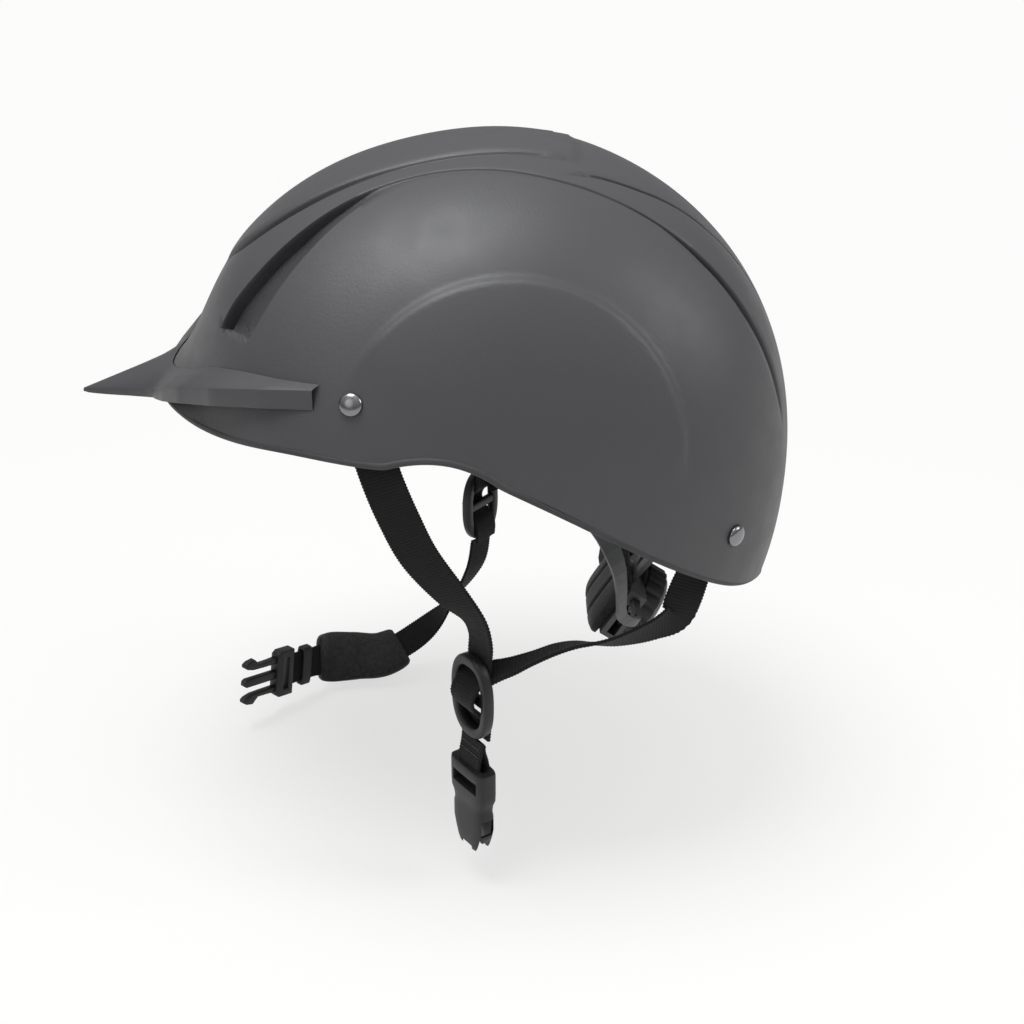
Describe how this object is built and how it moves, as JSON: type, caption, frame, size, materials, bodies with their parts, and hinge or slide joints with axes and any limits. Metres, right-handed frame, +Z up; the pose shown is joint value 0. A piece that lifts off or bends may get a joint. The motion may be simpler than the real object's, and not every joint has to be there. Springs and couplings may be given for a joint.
{
  "type": "riding helmet",
  "caption": "Riding helmet with a grooved moulded shell, short pointed peak, foam liner, nape fit dial and webbing harness with dividers and a side release buckle.",
  "frame": {"origin": "centre of the head opening, level with the rim at the temples, where a head is seated", "axes": "+Z up, -Y to the front, +X to the wearer's left; the shell is symmetric about X = 0"},
  "size_m": [0.2124, 0.285, 0.2775],
  "materials": {
    "shell": "fine satin texture",
    "peak": "fine satin texture",
    "trim": "matte",
    "foam": "beaded foam",
    "pad": "brushed knit",
    "fit_plastic": "semi matte",
    "dial_plastic": "semi matte",
    "gear": "smooth",
    "grip": "matte",
    "rivet": "polished",
    "steel": "plain",
    "webbing": "ribbed webbing",
    "buckle": "moulded"
  },
  "bodies": {
    "helmet": {"shell": "shell", "peak": "peak", "edge_trim": "trim", "foam_liner": "foam", "crown_pad": "pad", "side_pad_left": "pad", "side_pad_right": "pad", "brow_pad": "pad", "headband": "fit_plastic", "cradle": "fit_plastic", "dial_cover": "fit_plastic", "nape_pad": "pad", "front_rivets": "rivet", "rear_rivets": "rivet", "rivet_washers": "steel", "strap_tops": "webbing"},
    "dial": {"pinion": "gear", "dial_knob": "dial_plastic", "dial_grip": "grip", "dial_screw": "steel"},
    "arm_left": {"fit_arm_left": "fit_plastic"},
    "arm_right": {"fit_arm_right": "fit_plastic"},
    "harness_left": {"front_strap_left": "webbing", "rear_strap_left": "webbing", "divider_left": "buckle"},
    "tail_left": {"lower_strap_left": "webbing", "buckle_socket": "buckle"},
    "harness_right": {"front_strap_right": "webbing", "rear_strap_right": "webbing", "divider_right": "buckle"},
    "tail_right": {"chin_strap_right": "webbing", "chin_pad": "pad", "buckle_plug": "buckle"},
    "keeper": {"strap_keeper": "grip"}
  },
  "joints": [
    {"name": "dial_turn", "type": "hinge", "parent": "helmet", "child": "dial", "pos_m": [0, 0.0625, -0.1031], "axis": [0, -0.8387, 0.5446], "range_deg": [0, 114]},
    {"name": "arm_left_slide", "type": "slide", "parent": "helmet", "child": "arm_left", "axis": [-1, 0, 0], "range_m": [0, 0.012]},
    {"name": "arm_right_slide", "type": "slide", "parent": "helmet", "child": "arm_right", "axis": [1, 0, 0], "range_m": [0, 0.012]},
    {"name": "harness_left_swing", "type": "hinge", "parent": "helmet", "child": "harness_left", "pos_m": [0.10018, -0.02901, -0.00956], "axis": [-0.1863, 0.8693, -0.4578], "range_deg": [-8, 20]},
    {"name": "tail_left_swing", "type": "hinge", "parent": "harness_left", "child": "tail_left", "pos_m": [0.088, 0.001, -0.1214], "axis": [0.8191, 0.5736, 0], "range_deg": [-60, 60]},
    {"name": "harness_right_swing", "type": "hinge", "parent": "helmet", "child": "harness_right", "pos_m": [-0.10018, -0.02901, -0.00956], "axis": [0.1863, 0.8693, -0.4578], "range_deg": [-20, 8]},
    {"name": "tail_right_swing", "type": "hinge", "parent": "harness_right", "child": "tail_right", "pos_m": [-0.088, 0.001, -0.1214], "axis": [-0.8191, 0.5736, 0], "range_deg": [-30, 30]},
    {"name": "keeper_slide", "type": "slide", "parent": "tail_right", "child": "keeper", "axis": [0.7375, -0.6578, 0.1528], "range_m": [-0.003, 0.003]}
  ],
  "couplings": [
    {"joint": "arm_left_slide", "follows": "dial_turn", "m_per_rad": 0.006},
    {"joint": "arm_right_slide", "follows": "dial_turn", "m_per_rad": 0.006}
  ]
}
